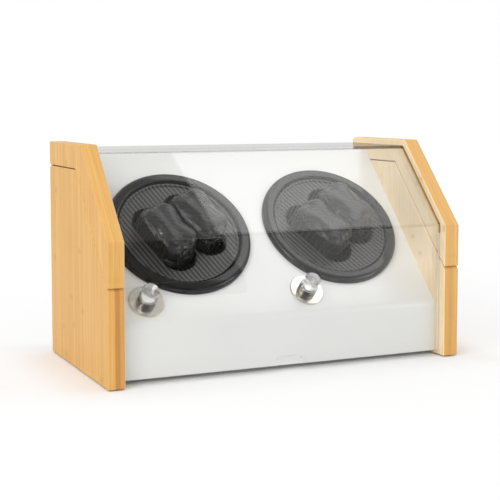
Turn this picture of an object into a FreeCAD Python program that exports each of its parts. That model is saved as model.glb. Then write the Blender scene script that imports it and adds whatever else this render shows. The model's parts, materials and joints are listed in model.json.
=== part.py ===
"""Watch winder box: bamboo case, clear hinged lid and two driven turntables with cushions.

Millimetres. X runs to the right as the user sees the front, Y runs to the back and Z runs up.
The origin is at the bottom centre of the whole box, hinges included.
"""
import FreeCAD
import Part
import os
from math import atan2, cos, degrees, pi, radians, sin, sqrt, tan

Vector = FreeCAD.Vector

# Case
case_width = 340.0
case_depth = 174.0
case_height = 200.0
panel_thickness = 15.0
front_edge_height = 123.0
top_depth = 101.0
arm_front_length = 40.5
arm_height = 22.0
seam_gap = 0.8
corner_round = 1.2
rear_corner_round = 3.5
edge_round = 1.0
pad_radius = 6.0
pad_height = 1.0
pad_inset = 16.0

# Boards inside the case
board_bottom = 4.0
bottom_board_thickness = 8.0
back_cover_thickness = 4.0
back_cover_recess = 2.0
batten_width = 10.0
batten_drop = 12.0
board_fit = 0.1
dowel_radius = 2.5
dowel_length = 20.0
dowel_inset = 30.0
round_fit = 0.05

# Lid cover
cover_thickness = 3.0
cover_inset = 5.5
cover_front_inset = 8.0
cover_rear_inset = 1.0
cover_bottom = 5.5
cover_side_gap = 0.8
cover_groove = 3.0
cover_bend = 6.0
cover_free_drop = 8.0
notch_width = 24.0
notch_height = 8.0
notch_round = 4.0

# Fascia
fascia_thickness = 3.0
fascia_setback = 62.0
fascia_front_inset = 16.0
fascia_top_drop = 11.0
fascia_bend = 9.0

# Lid hinges
hinge_length = 12.0
hinge_leaf_height = 17.0
hinge_leaf_thickness = 1.2
hinge_barrel_radius = 2.4
hinge_pin_radius = 1.2
hinge_knuckle_length = 4.0
hinge_knuckle_gap = 0.25
hinge_leaf_gap = 0.3
hinge_outer_inset = 2.5

# Screws
screw_radius = 1.2
screw_head_radius = 2.2
screw_head_height = 1.0
hinge_screw_length = 10.0
hinge_screw_pitch = 7.0
cover_screw_length = 12.0
motor_screw_length = 7.0
motor_screw_spread = 8.5

# Turntables, measured on the fascia slope from its lower bend
table_inset = 0.8
table_centre_up = 94.5
left_table_turn = 24.0
right_table_turn = 32.0
bezel_radius = 67.5
bezel_width = 10.3
bezel_height = 6.0
bezel_outer_round = 4.5
bezel_inner_round = 1.4
bezel_spigot_width = 2.0
bezel_fit = 0.2
table_gap = 1.5
table_top = 2.5
table_plate_thickness = 2.5
table_rim_width = 2.2
table_rim_height = 1.0
pocket_length = 74.0
pocket_width = 34.0
pocket_pitch = 36.4
pocket_floor = 14.0
pocket_wall = 1.6
pocket_lip_round = 1.0
hub_radius = 9.0
hub_length = 6.5

# Cushions
cushion_length = 57.0
cushion_width = 32.0
cushion_height = 40.5
cushion_seat_gap = 0.3
cushion_draw = 1.0

# Turntable drive
gear_module = 0.8
gear_teeth = 60
pinion_teeth = 15
gear_width = 5.0
gear_addendum = 0.8
gear_dedendum = 1.15
gear_pressure_angle = 20.0
gear_backlash = 0.16
gear_hub_radius = 6.5
gear_hub_length = 1.7
running_gap = 0.3
spindle_radius = 3.0
spindle_depth_in_hub = 5.5
bush_radius = 5.0
bush_flange_radius = 7.0
bush_flange_thickness = 1.0
bush_tail = 1.0
clip_radius = 5.5
clip_thickness = 1.0
spindle_tail = 1.7
frame_thickness = 3.0
frame_corner_radius = 9.0
post_radius = 4.0
post_circle = 66.5
motor_radius = 13.0
motor_gearbox_length = 19.0
motor_can_radius = 10.5
motor_can_length = 22.0
motor_cap_radius = 5.0
motor_cap_length = 2.5
motor_shaft_radius = 2.0
motor_shaft_depth = 12.0
motor_opening_radius = 4.0

# Knobs, measured on the fascia slope from the turntable centre and the lower bend
knob_offset_across = 48.8
knob_up = 23.1
knob_plate_radius = 16.0
knob_plate_thickness = 1.6
knob_plate_round = 0.7
knob_lift = 0.4
knob_collar_radius = 8.3
knob_collar_height = 6.2
knob_ring_width = 1.1
knob_ring_depth = 0.5
knob_ring_pitch = 2.1
knob_ring_start = 1.5
knob_cap_radius = 7.5
knob_cap_height = 11.2
knob_cap_round = 1.4
knob_cap_spigot_radius = 5.0
knob_cap_spigot_length = 1.6
knob_shaft_radius = 2.0
switch_bush_radius = 3.5
switch_bush_rise = 2.6
switch_body_width = 17.0
switch_body_depth = 12.0
switch_nut_width = 10.0
switch_nut_thickness = 2.0
switch_shaft_depth = 8.0
knob_socket_radius = 6.4
knob_socket_clearance = 0.6

# Electrics
control_board_width = 70.0
control_board_depth = 40.0
control_board_thickness = 1.6
control_board_rear_gap = 14.0
standoff_radius = 3.0
standoff_height = 6.0
standoff_inset = 5.0
connector_width = 8.0
connector_depth = 6.0
connector_height = 7.0
connector_pitch = 13.0
connector_count = 5
socket_inset = 45.0
socket_height = 30.0
socket_flange_radius = 6.0
socket_flange_thickness = 1.2
socket_barrel_radius = 4.0
socket_bore_radius = 2.85
socket_bore_depth = 9.0
socket_pin_radius = 1.05
socket_block_width = 9.0
socket_block_length = 10.0
lead_radius = 1.2
lead_straight = 15.0
lead_rise = 17.0
lead_bend_share = 0.45
lead_sag = 8.0
lead_side_step = 6.0

# Worked-out places
inner_half = case_width / 2 - panel_thickness
seam_front_height = front_edge_height - arm_front_length
seam_height = case_height - arm_height
fascia_top = case_height - fascia_top_drop
table_centre_across = inner_half / 2 - table_inset
socket_across = socket_inset - inner_half
hinge_reach = 2 * hinge_barrel_radius
front = -(case_depth + hinge_reach) / 2
rear = front + case_depth
slope = atan2(case_height - front_edge_height, case_depth - top_depth)
slope_up = Vector(0, cos(slope), sin(slope))
slope_out = Vector(0, -sin(slope), cos(slope))
slope_level = slope_out.dot(Vector(0, front, front_edge_height))
hinge_axis_y = rear + hinge_barrel_radius
hinge_axis_z = seam_height
hinge_across = case_width / 2 - hinge_outer_inset - hinge_length / 2
bezel_inner_radius = bezel_radius - bezel_width
bezel_spigot_radius = bezel_inner_radius + bezel_spigot_width
table_radius = bezel_inner_radius - table_gap
cup_bottom = -pocket_floor - pocket_wall
hub_bottom = cup_bottom - hub_length
gear_bottom = hub_bottom - gear_width
flange_top = gear_bottom - gear_hub_length - running_gap
frame_top = flange_top - bush_flange_thickness
frame_bottom = frame_top - frame_thickness
gear_distance = gear_module * (gear_teeth + pinion_teeth) / 2
back_cover_front = rear - back_cover_recess - back_cover_thickness
board_front = front + fascia_front_inset + fascia_thickness
knob_bottom = knob_plate_thickness + knob_lift
collar_top = knob_bottom + knob_collar_height
motor_tail = frame_bottom - motor_gearbox_length - motor_can_length - motor_cap_length
control_board_rear = back_cover_front - batten_width - control_board_rear_gap

nodes = {}


def point_at(y, level, up=slope_out):
    """Point on the plane up·p = level at depth y."""
    return Vector(0, y, (level - up.y * y) / up.z)


def point_level(z, level, up=slope_out):
    """Point on the plane up·p = level at height z."""
    return Vector(0, (level - up.z * z) / up.y, z)


def outline(points, radii):
    """Closed wire through points, with each corner rounded by its radius."""
    edges = []
    count = len(points)
    starts, ends, arcs = [], [], []
    for i, corner in enumerate(points):
        before = (points[i - 1] - corner).normalize()
        after = (points[(i + 1) % count] - corner).normalize()
        radius = radii[i]
        if radius == 0:
            starts.append(corner)
            ends.append(corner)
            arcs.append(None)
            continue
        half = before.getAngle(after) / 2
        reach = radius / tan(half)
        middle = (before + after).normalize() * (radius / sin(half) - radius)
        starts.append(corner + before * reach)
        ends.append(corner + after * reach)
        arcs.append(Part.Arc(starts[-1], corner + middle, ends[-1]).toShape())
    for i in range(count):
        if arcs[i]:
            edges.append(arcs[i])
        edges.append(Part.makeLine(ends[i], starts[(i + 1) % count]))
    return Part.Wire(edges)


def prism(points, radii, travel):
    """Solid made by pushing a rounded outline along travel."""
    return Part.Face(outline(points, radii)).extrude(travel)


def turned(points, radii):
    """Solid of revolution about Z from a half section in X and Z."""
    return Part.Face(outline(points, radii)).revolve(Vector(), Vector(0, 0, 1), 360)


def disc(radius, low, high, x=0.0, y=0.0):
    """Upright cylinder between two heights."""
    return Part.makeCylinder(radius, high - low, Vector(x, y, low))


def block(low, high):
    """Box between two corners."""
    size = high - low
    return Part.makeBox(size.x, size.y, size.z, low)


def obround(length, width, low, high, y=0.0):
    """Upright prism with round ends, lying along X."""
    half = (length - width) / 2
    body = block(Vector(-half, y - width / 2, low), Vector(half, y + width / 2, high))
    return body.fuse([disc(width / 2, low, high, x, y) for x in (-half, half)]).removeSplitter()


def edges_at(shape, test):
    """Edges whose end points all pass a test."""
    return [edge for edge in shape.Edges if all(test(vertex.Point) for vertex in edge.Vertexes)]


def near(value, target):
    """True when two lengths agree to a thousandth."""
    return abs(value - target) < 0.001


def soften_sides(shape, radius):
    """Round the two outlines of a panel that stands across X."""
    box = shape.BoundBox
    outer = edges_at(shape, lambda p: near(p.x, box.XMin))
    inner = edges_at(shape, lambda p: near(p.x, box.XMax))
    return shape.makeFillet(radius, outer + inner)


def slope_point(across, up, out=0.0):
    """Point above the fascia slope, measured across, up from the lower bend and outwards."""
    return fascia_bend_point + slope_up * up + slope_out * out + Vector(across, 0, 0)


def on_slope(shape, across, up, turn=0.0):
    """Set a shape drawn about Z onto the fascia slope, turned about its own axis."""
    base = slope_point(across, up)
    spin = FreeCAD.Rotation(Vector(0, 0, 1), turn)
    lean = FreeCAD.Rotation(Vector(1, 0, 0), degrees(slope))
    placed = shape.copy()
    placed.Placement = FreeCAD.Placement(base, lean.multiply(spin)).multiply(placed.Placement)
    return placed


def across(shape, x, y, z, axis):
    """Set a shape drawn about Z so that its Z runs along axis from a point."""
    placed = shape.copy()
    spin = FreeCAD.Rotation(Vector(0, 0, 1), axis)
    placed.Placement = FreeCAD.Placement(Vector(x, y, z), spin).multiply(placed.Placement)
    return placed


def sheet_outline(path, thickness, bend):
    """Section of a bent sheet: path is its outer face and the thickness lies to the path's left."""
    inner = []
    for i, corner in enumerate(path):
        sides = []
        if i > 0:
            sides.append((corner - path[i - 1]).normalize())
        if i < len(path) - 1:
            sides.append((path[i + 1] - corner).normalize())
        lefts = [Vector(0, -side.z, side.y) for side in sides]
        step = lefts[0] if len(lefts) == 1 else (lefts[0] + lefts[1]) / (1 + lefts[0].dot(lefts[1]))
        inner.append(corner + step * thickness)
    outer_radii = [0.0] + [bend] * (len(path) - 2) + [0.0]
    inner_radii = [0.0] + [bend - thickness] * (len(path) - 2) + [0.0]
    return path + inner[::-1], outer_radii + inner_radii[::-1]


def screw(length):
    """Dome-headed screw drawn head up, with the head's underside at zero."""
    head = disc(screw_head_radius, 0, screw_head_height)
    rim = edges_at(head, lambda p: near(p.z, screw_head_height))
    head = head.makeFillet(screw_head_height * 0.6, rim)
    return head.fuse(disc(screw_radius, -length, 0)).removeSplitter()


def screw_hole(length):
    """Cutter for the shank of a screw."""
    return disc(screw_radius + round_fit, -length - round_fit, screw_head_height)


# Main lines of the lid's and the fascia's sections
cover_level = slope_level - cover_inset
cover_top = case_height - cover_inset
cover_front = front + cover_front_inset
cover_path = [
    Vector(0, rear - cover_rear_inset, cover_top),
    point_level(cover_top, cover_level),
    point_at(cover_front, cover_level),
    Vector(0, cover_front, cover_bottom),
]
fascia_level = slope_level - fascia_setback
fascia_front = front + fascia_front_inset
fascia_bend_point = point_at(fascia_front, fascia_level)
fascia_path = [
    Vector(0, rear - back_cover_recess, fascia_top),
    point_level(fascia_top, fascia_level),
    fascia_bend_point,
    Vector(0, fascia_front, board_bottom),
]
tables = (
    ("left", -table_centre_across, left_table_turn),
    ("right", table_centre_across, right_table_turn),
)


def make_lid_cover():
    """Clear sheet: grooved into the arms on the slope and top, free between the sides in front."""
    points, radii = sheet_outline(cover_path, cover_thickness, cover_bend)
    half = inner_half + cover_groove
    sheet = prism([p - Vector(half, 0, 0) for p in points], radii, Vector(2 * half, 0, 0))
    free_half = inner_half - cover_side_gap
    free_top = cover_path[2].z - cover_free_drop
    for side in (-1, 1):
        x_low, x_high = sorted((side * free_half, side * (half + 1)))
        trim = block(Vector(x_low, front, 0), Vector(x_high, fascia_front, free_top))
        sheet = sheet.cut(trim)
    notch_points = [
        Vector(-notch_width / 2, front, cover_bottom + notch_height),
        Vector(notch_width / 2, front, cover_bottom + notch_height),
        Vector(notch_width / 2, front, 0),
        Vector(-notch_width / 2, front, 0),
    ]
    notch = prism(notch_points, [notch_round, notch_round, 0, 0], Vector(0, fascia_front_inset, 0))
    return sheet.cut(notch)


def make_lid_arm(side, cover):
    """Bamboo arm above the seam, grooved for the cover."""
    seam_level = slope_out.dot(Vector(0, front, seam_front_height)) + seam_gap / 2
    seam_top = seam_height + seam_gap / 2
    points = [
        point_at(front, seam_level),
        Vector(0, front, front_edge_height),
        point_level(case_height, slope_level),
        Vector(0, rear, case_height),
        Vector(0, rear, seam_top),
        point_level(seam_top, seam_level),
    ]
    radii = [corner_round, corner_round, corner_round, corner_round, rear_corner_round, corner_round]
    x_low = -case_width / 2 if side < 0 else inner_half
    shifted = [p + Vector(x_low, 0, 0) for p in points]
    arm = soften_sides(prism(shifted, radii, Vector(panel_thickness, 0, 0)), edge_round)
    return arm.cut(cover)


def make_side_panel(side):
    """Bamboo side below the seam, standing on its pads."""
    seam_level = slope_out.dot(Vector(0, front, seam_front_height)) - seam_gap / 2
    seam_top = seam_height - seam_gap / 2
    points = [
        Vector(0, front, pad_height),
        point_at(front, seam_level),
        point_level(seam_top, seam_level),
        Vector(0, rear, seam_top),
        Vector(0, rear, pad_height),
    ]
    radii = [corner_round, corner_round, corner_round, rear_corner_round, corner_round]
    x_low = -case_width / 2 if side < 0 else inner_half
    shifted = [p + Vector(x_low, 0, 0) for p in points]
    return soften_sides(prism(shifted, radii, Vector(panel_thickness, 0, 0)), edge_round)


def make_fascia():
    """Bent white sheet with round openings for the turntables and the switches."""
    points, radii = sheet_outline(fascia_path, fascia_thickness, fascia_bend)
    half = inner_half - board_fit
    sheet = prism([p - Vector(half, 0, 0) for p in points], radii, Vector(2 * half, 0, 0))
    for name, centre, turn in tables:
        opening = disc(bezel_spigot_radius + bezel_fit, -2 * fascia_thickness, fascia_thickness)
        sheet = sheet.cut(on_slope(opening, centre, table_centre_up))
        bush_hole = disc(switch_bush_radius + round_fit, -2 * fascia_thickness, fascia_thickness)
        sheet = sheet.cut(on_slope(bush_hole, centre - knob_offset_across, knob_up))
    return sheet


def make_bezel():
    """Gloss ring that seats in the fascia opening by its spigot."""
    points = [
        Vector(bezel_inner_radius, 0, -fascia_thickness),
        Vector(bezel_inner_radius, 0, bezel_height),
        Vector(bezel_radius, 0, bezel_height),
        Vector(bezel_radius, 0, 0),
        Vector(bezel_spigot_radius, 0, 0),
        Vector(bezel_spigot_radius, 0, -fascia_thickness),
    ]
    return turned(points, [0, bezel_inner_round, bezel_outer_round, 0, 0, 0])


def make_turntable():
    """Round dish with two pockets side by side and a hub below."""
    low = table_top - table_plate_thickness
    rim_low = table_radius - table_rim_width
    dish = disc(table_radius, low, table_top + table_rim_height)
    dish = dish.cut(disc(rim_low, table_top, table_top + table_rim_height + 1))
    spread = (pocket_pitch / 2, -pocket_pitch / 2)
    for y in spread:
        cup_length = pocket_length + 2 * pocket_wall
        cup_width = pocket_width + 2 * pocket_wall
        dish = dish.fuse(obround(cup_length, cup_width, cup_bottom, low, y))
    dish = dish.fuse(disc(hub_radius, hub_bottom, cup_bottom)).removeSplitter()
    for y in spread:
        dish = dish.cut(obround(pocket_length, pocket_width, -pocket_floor, table_top + 1, y))
    lips = [edge for edge in edges_at(dish, lambda p: near(p.z, table_top)) if not is_rim(edge)]
    dish = dish.makeFillet(pocket_lip_round, lips)
    spindle_top = hub_bottom + spindle_depth_in_hub
    dish = dish.cut(disc(spindle_radius, hub_bottom, spindle_top))
    return dish.rotate(Vector(), Vector(0, 0, 1), 90)


def is_rim(edge):
    """True for the full circle at the foot of the dish's rim."""
    return isinstance(edge.Curve, Part.Circle) and edge.Curve.Radius > pocket_length / 2


def make_gear(teeth, bore, width):
    """Spur gear about Z, with a tooth centred on X and its lower face at zero."""
    pitch = gear_module * teeth / 2
    base = pitch * cos(radians(gear_pressure_angle))
    tip = pitch + gear_module * gear_addendum
    root = pitch - gear_module * gear_dedendum
    spread = involute(pitch, base) + (pi * gear_module / 2 - gear_backlash / 2) / (2 * pitch)
    flank_radii = (max(base, root), (base + tip) / 2 if base > root else (root + tip) / 2, tip)
    flank = [(radius, spread - involute(radius, base)) for radius in flank_radii]
    flank = [(root, flank[0][1] + (0 if root < base else 0.001))] + flank
    corners = []
    for i in range(teeth):
        centre = 2 * pi * i / teeth
        corners += [polar(radius, centre - angle) for radius, angle in flank]
        corners += [polar(radius, centre + angle) for radius, angle in reversed(flank)]
    body = Part.Face(Part.makePolygon(corners + corners[:1])).extrude(Vector(0, 0, width))
    return body.cut(disc(bore, -1, width + 1))


def involute(radius, base):
    """Polar angle of an involute at a radius."""
    if radius <= base:
        return 0.0
    roll = sqrt((radius / base) ** 2 - 1)
    return roll - atan2(roll, 1)


def polar(radius, angle):
    """Point in the XY plane."""
    return Vector(radius * cos(angle), radius * sin(angle), 0)


def make_table_gear():
    """Turntable gear with the thrust hub that runs on the bush."""
    gear = make_gear(gear_teeth, spindle_radius, gear_width)
    hub = disc(gear_hub_radius, -gear_hub_length, 0).cut(disc(spindle_radius, -gear_hub_length, 0))
    gear = gear.fuse(hub).removeSplitter()
    gear.translate(Vector(0, 0, gear_bottom))
    return gear


def make_pinion():
    """Motor pinion, turned so that a gap faces the table gear."""
    pinion = make_gear(pinion_teeth, motor_shaft_radius, gear_width)
    pinion.rotate(Vector(), Vector(0, 0, 1), 90 + 180 / pinion_teeth)
    pinion.translate(Vector(0, -gear_distance, gear_bottom))
    return pinion


def frame_posts():
    """Places of the three posts that hold a drive frame to the fascia."""
    return [polar(post_circle, radians(angle)) for angle in (90, 210, 330)]


def make_drive_frame():
    """Three-cornered plate on posts, with holes for the bush, the motor shaft and its screws."""
    step = frame_corner_radius - post_radius
    corners = [p * (1 + 2 * frame_corner_radius / post_circle) for p in frame_posts()]
    corners = [p + Vector(0, 0, frame_bottom) for p in corners]
    plate = prism(corners, [frame_corner_radius] * 3, Vector(0, 0, frame_thickness))
    posts = [disc(post_radius, frame_bottom, -fascia_thickness, p.x, p.y) for p in frame_posts()]
    feet = [disc(post_radius + step / 2, frame_bottom, frame_top + step, p.x, p.y) for p in frame_posts()]
    frame = plate.fuse(posts + feet).removeSplitter()
    holes = [disc(bush_radius, frame_bottom - 1, frame_top + 1)]
    holes.append(disc(motor_opening_radius, frame_bottom - 1, frame_top + 1, 0, -gear_distance))
    for x in (-motor_screw_spread, motor_screw_spread):
        holes.append(disc(screw_radius + round_fit, frame_bottom - 1, frame_top + 1, x, -gear_distance))
    return frame.cut(holes)


def make_bush():
    """Flanged bush pressed into the drive frame."""
    points = [
        Vector(spindle_radius + round_fit, 0, frame_bottom - bush_tail),
        Vector(spindle_radius + round_fit, 0, flange_top),
        Vector(bush_flange_radius, 0, flange_top),
        Vector(bush_flange_radius, 0, frame_top),
        Vector(bush_radius, 0, frame_top),
        Vector(bush_radius, 0, frame_bottom - bush_tail),
    ]
    return turned(points, [0] * 6)


def make_motor():
    """Round gear motor: gearbox, motor can and end cap, with bores for its shaft and screws."""
    can_top = frame_bottom - motor_gearbox_length
    cap_top = can_top - motor_can_length
    gearbox = disc(motor_radius, can_top, frame_bottom)
    can = disc(motor_can_radius, cap_top, can_top)
    can = can.makeFillet(1.5, edges_at(can, lambda p: near(p.z, cap_top)))
    cap = disc(motor_cap_radius, cap_top - motor_cap_length, cap_top)
    motor = gearbox.fuse([can, cap]).removeSplitter()
    shaft_end = frame_bottom - motor_shaft_depth - running_gap
    bores = [disc(motor_shaft_radius + round_fit, shaft_end, frame_bottom + 1)]
    depth = motor_screw_length - frame_thickness + round_fit
    for x in (-motor_screw_spread, motor_screw_spread):
        bores.append(disc(screw_radius + round_fit, frame_bottom - depth, frame_bottom + 1, x, 0))
    motor = motor.cut(bores)
    motor.translate(Vector(0, -gear_distance, 0))
    return motor


def cushion_section(length, width, corner, height):
    """Outline of a cushion at one height, with its sides drawn in between the corners."""
    half_l, half_w = length / 2, width / 2
    mid = corner * (1 - sqrt(0.5))
    edges = []
    for sx, sy in ((1, 1), (-1, 1), (-1, -1), (1, -1)):
        on_side = Vector(sx * half_l, sy * (half_w - corner), height)
        on_end = Vector(sx * (half_l - corner), sy * half_w, height)
        at_corner = Vector(sx * (half_l - mid), sy * (half_w - mid), height)
        first, last = (on_side, on_end) if sx * sy > 0 else (on_end, on_side)
        edges.append((first, at_corner, last))
    arcs = [Part.Arc(a, m, b).toShape() for a, m, b in edges]
    sides = []
    for i, (a, m, b) in enumerate(edges):
        following = edges[(i + 1) % 4][0]
        middle = (b + following) / 2
        inwards = Vector(-middle.x, -middle.y, 0).normalize()
        sides.append(Part.Arc(b, middle + inwards * cushion_draw, following).toShape())
    ordered = [edge for pair in zip(arcs, sides) for edge in pair]
    return Part.Wire(ordered)


def make_cushion():
    """Stuffed cushion with a crowned top, standing on the pocket's floor."""
    low = -pocket_floor + cushion_seat_gap
    sections = []
    for rise, length, width, corner in (
        (0.0, 0.78, 0.78, 0.20),
        (0.14, 0.97, 0.98, 0.32),
        (0.50, 1.00, 1.00, 0.34),
        (0.80, 0.93, 0.98, 0.32),
        (0.95, 0.82, 0.90, 0.26),
        (1.0, 0.66, 0.66, 0.18),
    ):
        height = low + cushion_height * rise
        size = (cushion_length * length, cushion_width * width, cushion_width * corner)
        sections.append(cushion_section(*size, height))
    return Part.makeLoft(sections, True, False)


def make_switch():
    """Rotary switch: square body behind the fascia and a threaded bush through it."""
    half = switch_body_width / 2
    low = -fascia_thickness - switch_body_depth
    body = block(Vector(-half, -half, low), Vector(half, half, -fascia_thickness))
    body = body.makeFillet(edge_round, [e for e in body.Edges if near(e.Length, switch_body_depth)])
    bush = disc(switch_bush_radius, -fascia_thickness, knob_plate_thickness + switch_bush_rise)
    switch = body.fuse(bush).removeSplitter()
    return switch.cut(disc(knob_shaft_radius + round_fit, -switch_shaft_depth - running_gap, collar_top))


def make_switch_nut():
    """Hexagon nut that clamps the knob plate on the switch's bush."""
    corner = switch_nut_width / 2 / cos(pi / 6)
    points = [polar(corner, i * pi / 3) + Vector(0, 0, knob_plate_thickness) for i in range(6)]
    nut = prism(points, [0] * 6, Vector(0, 0, switch_nut_thickness))
    return nut.cut(disc(switch_bush_radius, 0, collar_top))


def make_knob_plate():
    """Polished disc under a knob."""
    plate = disc(knob_plate_radius, 0, knob_plate_thickness)
    plate = plate.makeFillet(knob_plate_round, edges_at(plate, lambda p: near(p.z, knob_plate_thickness)))
    return plate.cut(disc(switch_bush_radius, -1, knob_plate_thickness + 1))


def knob_ring_heights():
    """Lower edges of the two grooves round a knob's collar."""
    return [knob_bottom + knob_ring_start + i * knob_ring_pitch for i in range(2)]


def make_knob_collar():
    """Hollow collar over the nut, with two ring grooves and a socket for the cap."""
    collar = disc(knob_collar_radius, knob_bottom, collar_top)
    collar = collar.makeFillet(knob_plate_round, edges_at(collar, lambda p: near(p.z, collar_top)))
    hollow_top = knob_plate_thickness + switch_bush_rise + knob_socket_clearance
    cuts = [disc(knob_socket_radius, 0, hollow_top)]
    cuts.append(disc(knob_cap_spigot_radius, collar_top - knob_cap_spigot_length, collar_top + 1))
    cuts.append(disc(knob_shaft_radius, 0, collar_top))
    for low in knob_ring_heights():
        groove = disc(knob_collar_radius + 1, low, low + knob_ring_width)
        cuts.append(groove.cut(disc(knob_collar_radius - knob_ring_depth, low, low + knob_ring_width)))
    return collar.cut(cuts)


def make_knob_rings():
    """Two dark rings in the collar's grooves."""
    rings = []
    for low in knob_ring_heights():
        ring = disc(knob_collar_radius, low, low + knob_ring_width)
        rings.append(ring.cut(disc(knob_collar_radius - knob_ring_depth, low, low + knob_ring_width)))
    return Part.makeCompound(rings)


def make_knob_cap():
    """Clear grip of a knob, plugged into the collar."""
    top = collar_top + knob_cap_height
    cap = disc(knob_cap_radius, collar_top, top)
    cap = cap.makeFillet(knob_cap_round, edges_at(cap, lambda p: near(p.z, top)))
    spigot = disc(knob_cap_spigot_radius, collar_top - knob_cap_spigot_length, collar_top)
    return cap.fuse(spigot).removeSplitter()


def make_knob_shaft():
    """Switch shaft that the collar is fixed to."""
    return disc(knob_shaft_radius, -switch_shaft_depth, collar_top - knob_cap_spigot_length)


def hinge_leaf(direction, knuckles):
    """Hinge leaf on a rear edge, up or down from the axis, with its knuckles along X."""
    clear = hinge_barrel_radius + hinge_leaf_gap
    low, high = sorted((direction * clear, direction * (clear + hinge_leaf_height)))
    plate = block(
        Vector(-hinge_length / 2, rear, hinge_axis_z + low),
        Vector(hinge_length / 2, rear + hinge_leaf_thickness, hinge_axis_z + high))
    axis = Vector(1, 0, 0)
    solids = []
    for start, length in knuckles:
        at = Vector(start, hinge_axis_y, hinge_axis_z)
        solids.append(Part.makeCylinder(hinge_barrel_radius, length, at, axis))
        low, high = sorted((0, direction * clear))
        solids.append(block(
            Vector(start, rear, hinge_axis_z + low),
            Vector(start + length, rear + hinge_leaf_thickness, hinge_axis_z + high)))
    leaf = plate.fuse(solids).removeSplitter()
    return leaf


def hinge_bore(leaf, radius):
    """Leaf with the pin's bore cut through its knuckles."""
    at = Vector(-hinge_length, hinge_axis_y, hinge_axis_z)
    return leaf.cut(Part.makeCylinder(radius, 2 * hinge_length, at, Vector(1, 0, 0)))


def hinge_screw_heights(direction):
    """Heights of a leaf's two screws."""
    middle = hinge_barrel_radius + hinge_leaf_gap + hinge_leaf_height / 2
    return [hinge_axis_z + direction * middle + step * hinge_screw_pitch / 2 for step in (-1, 1)]


def hinge_screw_places(direction):
    """Places of the screws in both leaves of one direction."""
    return [(side * hinge_across, z) for side in (-1, 1) for z in hinge_screw_heights(direction)]


def build_hinges():
    """Leaves, pins and screw shapes of both hinges, with screw holes for leaves and wood."""
    middle = hinge_knuckle_length / 2
    end_length = hinge_length / 2 - middle - hinge_knuckle_gap
    ends = [(-hinge_length / 2, end_length), (middle + hinge_knuckle_gap, end_length)]
    case_leaf = hinge_bore(hinge_leaf(-1, ends), hinge_pin_radius)
    lid_leaf = hinge_bore(hinge_leaf(1, [(-middle, hinge_knuckle_length)]), hinge_pin_radius + round_fit)
    pin_end = Vector(-hinge_length / 2, hinge_axis_y, hinge_axis_z)
    pin = Part.makeCylinder(hinge_pin_radius, hinge_length, pin_end, Vector(1, 0, 0))
    back = Vector(0, 1, 0)
    pieces = {}
    for name, leaf, direction in (("case", case_leaf, -1), ("lid", lid_leaf, 1)):
        pair = [shifted(leaf, side * hinge_across) for side in (-1, 1)]
        places = hinge_screw_places(direction)
        seat = rear + hinge_leaf_thickness
        holes = [across(screw_hole(hinge_screw_length), x, seat, z, back) for x, z in places]
        pieces[name + "_holes"] = holes
        pieces[name + "_leaves"] = Part.makeCompound([leaf.cut(holes) for leaf in pair])
        pieces[name + "_screws"] = [across(screw(hinge_screw_length), x, seat, z, back) for x, z in places]
    pieces["pins"] = Part.makeCompound([shifted(pin, side * hinge_across) for side in (-1, 1)])
    return pieces


def shifted(shape, x):
    """Copy of a shape moved along X."""
    placed = shape.copy()
    placed.translate(Vector(x, 0, 0))
    return placed


def batten_box(side):
    """Upright batten in a rear inner corner of the case."""
    x_low, x_high = sorted((side * inner_half, side * (inner_half - batten_width)))
    low = board_bottom + bottom_board_thickness
    high = fascia_top - fascia_thickness - batten_drop
    front = back_cover_front - batten_width
    return block(Vector(x_low, front, low), Vector(x_high, back_cover_front, high))


def cover_screw_places():
    """Places of the screws that hold the back cover to its battens."""
    low = board_bottom + bottom_board_thickness
    high = fascia_top - fascia_thickness - batten_drop
    heights = [low + (high - low) * share for share in (0.12, 0.5, 0.88)]
    return [(side * (inner_half - batten_width / 2), z) for side in (-1, 1) for z in heights]


def build_case(hinges):
    """Sides, boards, battens, dowels, pads and their screws."""
    back = Vector(0, 1, 0)
    board_top = board_bottom + bottom_board_thickness
    board_middle = board_bottom + bottom_board_thickness / 2
    cover_rear = rear - back_cover_recess
    dowels = []
    for side in (-1, 1):
        for y in (board_front + dowel_inset, back_cover_front - dowel_inset):
            start = Vector(side * inner_half - dowel_length / 2, y, board_middle)
            dowels.append(Part.makeCylinder(dowel_radius, dowel_length, start, Vector(1, 0, 0)))
    dowel_bores = [d.copy() for d in dowels]
    for side, name in ((-1, "left"), (1, "right")):
        panel = make_side_panel(side)
        nodes[name + "_side_panel"] = panel.cut(dowel_bores + hinges["case_holes"])
    half = inner_half - board_fit
    board = block(Vector(-half, board_front, board_bottom), Vector(half, back_cover_front, board_top))
    nodes["bottom_board"] = board.cut(dowel_bores)
    nodes["case_dowels"] = Part.makeCompound(dowels)
    places = cover_screw_places()
    holes = [across(screw_hole(cover_screw_length), x, cover_rear, z, back) for x, z in places]
    cover_top = fascia_top - fascia_thickness
    cover = block(Vector(-half, back_cover_front, board_bottom), Vector(half, cover_rear, cover_top))
    inlet = across(disc(socket_barrel_radius + round_fit, -2 * back_cover_thickness, 1),
                   socket_across, cover_rear, socket_height, back)
    nodes["back_cover"] = cover.cut(holes + [inlet])
    nodes["case_battens"] = Part.makeCompound([batten_box(side).cut(holes) for side in (-1, 1)])
    screws = [across(screw(cover_screw_length), x, cover_rear, z, back) for x, z in places]
    nodes["case_screws"] = Part.makeCompound(screws + hinges["case_screws"])
    pads = []
    for side in (-1, 1):
        for y in (front + pad_inset, rear - pad_inset):
            pads.append(disc(pad_radius, 0, pad_height, side * (case_width - panel_thickness) / 2, y))
    nodes["foot_pads"] = Part.makeCompound(pads)
    nodes["front_fascia"] = make_fascia()


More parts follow.
